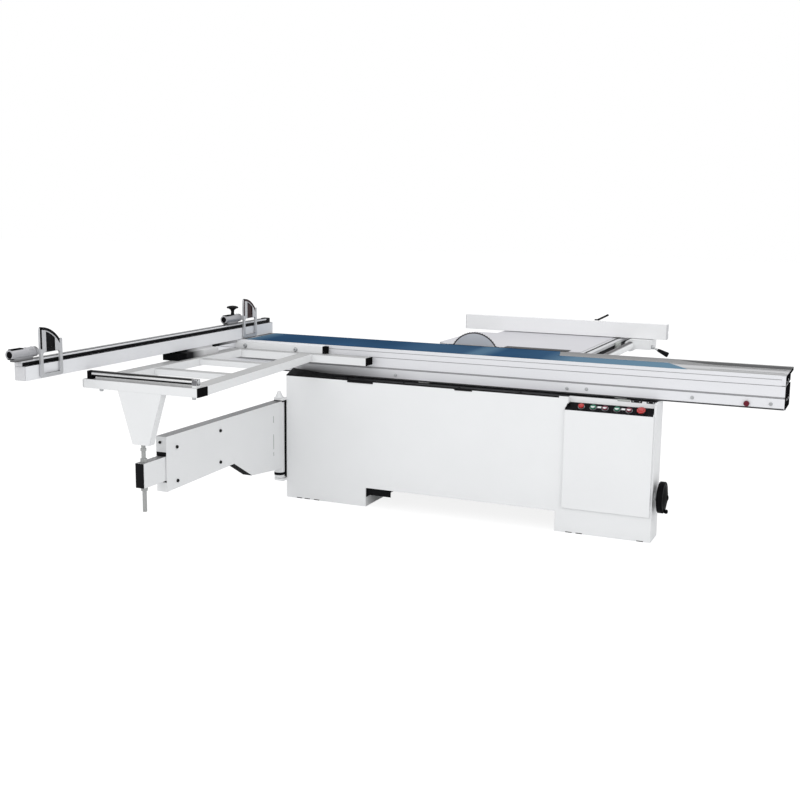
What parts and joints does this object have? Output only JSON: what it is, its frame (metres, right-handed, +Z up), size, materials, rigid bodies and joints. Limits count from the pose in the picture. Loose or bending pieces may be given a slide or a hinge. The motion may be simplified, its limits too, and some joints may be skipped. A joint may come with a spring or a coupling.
{
  "type": "sliding table saw",
  "caption": "Sliding table saw: white cabinet, aluminium rolling table with outrigger and crosscut fence, cast main table, rip fence, and a saw blade raised by a handwheel.",
  "frame": {"origin": "middle of the footprint at floor level", "axes": "+X along the sliding table to the operator's end, +Y from the outrigger to the rip fence, +Z up"},
  "size_m": [3.2, 3.349, 1.1126],
  "materials": {
    "white_paint": "fine white powder coat",
    "black_paint": "satin black",
    "mill_aluminium": "extruded, satin anodised",
    "cast_table": "ground and oiled",
    "machine_steel": "turned and brushed",
    "blade_steel": "ground with radial brushing",
    "chrome_roller": "polished chrome",
    "grey_casting": "painted casting",
    "motor_paint": "hammered blue-grey",
    "black_rubber": "matt rubber",
    "black_plastic": "fine grained black plastic",
    "nut_bronze": "machined bronze",
    "green_plastic": "moulded green",
    "red_plastic": "moulded red"
  },
  "bodies": {
    "base": {"cabinet": "white_paint", "cabinet_top": "black_paint", "control_cover": "white_paint", "button_strip": "black_paint", "beam": "mill_aluminium", "guide_rods": "machine_steel", "beam_mounts": "machine_steel", "hinge_bracket": "white_paint", "main_table": "cast_table", "table_insert": "machine_steel", "extension_table": "cast_table", "rip_rail": "mill_aluminium", "rip_bar": "white_paint", "saw_pivot": "grey_casting", "scoring_bracket": "grey_casting", "scoring_motor": "motor_paint", "scoring_belt": "black_rubber", "signal_lamp": "red_plastic"},
    "sliding_table": {"carriage": "mill_aluminium", "carriage_caps": "black_plastic", "mounting_bar": "white_paint", "frame_front_rail": "white_paint", "frame_left_rail": "white_paint", "frame_right_rail": "white_paint", "frame_inner_rail": "white_paint", "frame_slats": "white_paint", "support_bracket": "white_paint", "fence_pivot": "machine_steel"},
    "support_roller": {"roller": "chrome_roller"},
    "mitre_fence": {"crosscut_fence": "mill_aluminium"},
    "outer_stop": {"stop_1_block": "mill_aluminium"},
    "outer_stop_flip": {"stop_1_flip": "mill_aluminium"},
    "inner_stop": {"stop_2_block": "mill_aluminium"},
    "inner_stop_flip": {"stop_2_flip": "mill_aluminium"},
    "inner_stop_clamp": {"stop_2_knob": "black_plastic"},
    "swing_arm": {"support_arm": "white_paint"},
    "arm_tube": {"telescope": "white_paint", "support_rod": "machine_steel"},
    "saw_unit": {"saw_arm": "grey_casting", "main_motor": "motor_paint", "drive_belt": "black_rubber"},
    "saw_spindle": {"arbor": "machine_steel", "saw_blade": "blade_steel"},
    "motor_rotor": {"motor_pulley": "machine_steel"},
    "scoring_spindle": {"scoring_blade": "blade_steel"},
    "scoring_rotor": {"scoring_pulley": "machine_steel"},
    "height_wheel": {"handwheel": "black_plastic", "lift_screw": "machine_steel"},
    "height_handle": {"wheel_handle": "black_plastic"},
    "height_nut": {"lift_nut": "nut_bronze"},
    "rip_slide": {"rip_carrier": "white_paint"},
    "rip_bar_fence": {"rip_fence": "mill_aluminium"},
    "rip_slide_lever": {"carrier_lever": "black_plastic"},
    "rip_fence_lever": {"fence_lever": "black_plastic"},
    "start_1": {"start_button_1": "green_plastic"},
    "start_2": {"start_button_2": "green_plastic"},
    "stop_1": {"stop_button_1": "red_plastic"},
    "stop_2": {"stop_button_2": "red_plastic"},
    "emergency": {"emergency_stop": "red_plastic"},
    "table_lock": {"table_lock_button": "red_plastic"}
  },
  "joints": [
    {"name": "table_travel", "type": "slide", "parent": "base", "child": "sliding_table", "axis": [1, 0, 0], "range_m": [-1.4, 1.4]},
    {"name": "roller_spin", "type": "hinge", "parent": "sliding_table", "child": "support_roller", "pos_m": [-1.1, -1.1905, 0.865], "axis": [1, 0, 0], "continuous": true},
    {"name": "fence_swivel", "type": "hinge", "parent": "sliding_table", "child": "mitre_fence", "pos_m": [-1.4505, 0.2345, 0.882], "axis": [0, 0, 1], "range_deg": [-45, 45]},
    {"name": "outer_stop_travel", "type": "slide", "parent": "mitre_fence", "child": "outer_stop", "axis": [0, 1, 0], "range_m": [0, 0.65]},
    {"name": "outer_stop_flip", "type": "hinge", "parent": "outer_stop", "child": "outer_stop_flip", "pos_m": [-1.45, -1.5185, 1.003], "axis": [0, 1, 0], "range_deg": [-95, 0]},
    {"name": "inner_stop_travel", "type": "slide", "parent": "mitre_fence", "child": "inner_stop", "axis": [0, 1, 0], "range_m": [-0.65, 0.1]},
    {"name": "inner_stop_flip", "type": "hinge", "parent": "inner_stop", "child": "inner_stop_flip", "pos_m": [-1.45, 0.2025, 1.003], "axis": [0, 1, 0], "range_deg": [-95, 0]},
    {"name": "inner_stop_clamp", "type": "hinge", "parent": "inner_stop", "child": "inner_stop_clamp", "pos_m": [-1.45, 0.1415, 1.0253], "axis": [0, 0, 1], "range_deg": [-90, 90]},
    {"name": "arm_swing", "type": "hinge", "parent": "base", "child": "swing_arm", "pos_m": [-1.115, 0.0865, 0.34], "axis": [0, 0, 1], "range_deg": [-47.64, 47.64]},
    {"name": "arm_extend", "type": "slide", "parent": "swing_arm", "child": "arm_tube", "axis": [0, -1, 0], "range_m": [0, 0.618]},
    {"name": "saw_rise", "type": "hinge", "parent": "base", "child": "saw_unit", "pos_m": [0.198, 0.4745, 0.64], "axis": [0, 1, 0], "range_deg": [-14.5, 0]},
    {"name": "arbor_spin", "type": "hinge", "parent": "saw_unit", "child": "saw_spindle", "pos_m": [-0.122, 0.5685, 0.807], "axis": [0, 1, 0], "continuous": true},
    {"name": "motor_spin", "type": "hinge", "parent": "saw_unit", "child": "motor_rotor", "pos_m": [-0.2, 0.7645, 0.48], "axis": [0, 1, 0], "continuous": true},
    {"name": "scoring_spin", "type": "hinge", "parent": "base", "child": "scoring_spindle", "pos_m": [0.1, 0.5685, 0.822], "axis": [0, 1, 0], "continuous": true},
    {"name": "scoring_motor_spin", "type": "hinge", "parent": "base", "child": "scoring_rotor", "pos_m": [0.352, 0.6645, 0.742], "axis": [0, 1, 0], "continuous": true},
    {"name": "wheel_turn", "type": "hinge", "parent": "base", "child": "height_wheel", "pos_m": [1.04, 0.1545, 0.228], "axis": [1, 0, 0], "continuous": true},
    {"name": "handle_spin", "type": "hinge", "parent": "height_wheel", "child": "height_handle", "pos_m": [1.05, 0.1545, 0.157], "axis": [1, 0, 0], "continuous": true},
    {"name": "nut_travel", "type": "slide", "parent": "base", "child": "height_nut", "axis": [1, 0, 0], "range_m": [-0.002, 0.10855]},
    {"name": "rip_travel", "type": "slide", "parent": "base", "child": "rip_slide", "axis": [0, 1, 0], "range_m": [-0.65, 0.17]},
    {"name": "rip_fence_travel", "type": "slide", "parent": "rip_slide", "child": "rip_bar_fence", "axis": [1, 0, 0], "range_m": [-0.3, 0.3]},
    {"name": "rip_lever", "type": "hinge", "parent": "rip_slide", "child": "rip_slide_lever", "pos_m": [0.73, 1.3245, 0.838], "axis": [1, 0, 0], "range_deg": [0, 90]},
    {"name": "rip_fence_lever", "type": "hinge", "parent": "rip_slide", "child": "rip_fence_lever", "pos_m": [0.36, 1.4268, 0.96], "axis": [0, 0, 1], "range_deg": [-60, 60]},
    {"name": "start_1_press", "type": "slide", "parent": "base", "child": "start_1", "axis": [0, 0.5711, -0.8209], "range_m": [0, 0.004], "stiffness_N_per_m": 800, "springref_m": -0.003},
    {"name": "stop_1_press", "type": "slide", "parent": "base", "child": "stop_1", "axis": [0, 0.5711, -0.8209], "range_m": [0, 0.004], "stiffness_N_per_m": 800, "springref_m": -0.003},
    {"name": "start_2_press", "type": "slide", "parent": "base", "child": "start_2", "axis": [0, 0.5711, -0.8209], "range_m": [0, 0.004], "stiffness_N_per_m": 800, "springref_m": -0.003},
    {"name": "stop_2_press", "type": "slide", "parent": "base", "child": "stop_2", "axis": [0, 0.5711, -0.8209], "range_m": [0, 0.004], "stiffness_N_per_m": 800, "springref_m": -0.003},
    {"name": "emergency_press", "type": "slide", "parent": "base", "child": "emergency", "axis": [0, 0.5711, -0.8209], "range_m": [0, 0.004], "stiffness_N_per_m": 800, "springref_m": -0.003},
    {"name": "table_lock_press", "type": "slide", "parent": "base", "child": "table_lock", "axis": [0, 1, 0], "range_m": [0, 0.006], "stiffness_N_per_m": 800, "springref_m": -0.003}
  ],
  "couplings": [
    {"joint": "arm_swing", "follows": "table_travel", "rad_per_m": 0.59379},
    {"joint": "motor_spin", "follows": "arbor_spin", "ratio": 0.69091},
    {"joint": "scoring_motor_spin", "follows": "scoring_spin", "ratio": 0.5},
    {"joint": "nut_travel", "follows": "saw_rise", "m_per_rad": -0.42103},
    {"joint": "wheel_turn", "follows": "saw_rise", "ratio": 220.45}
  ]
}
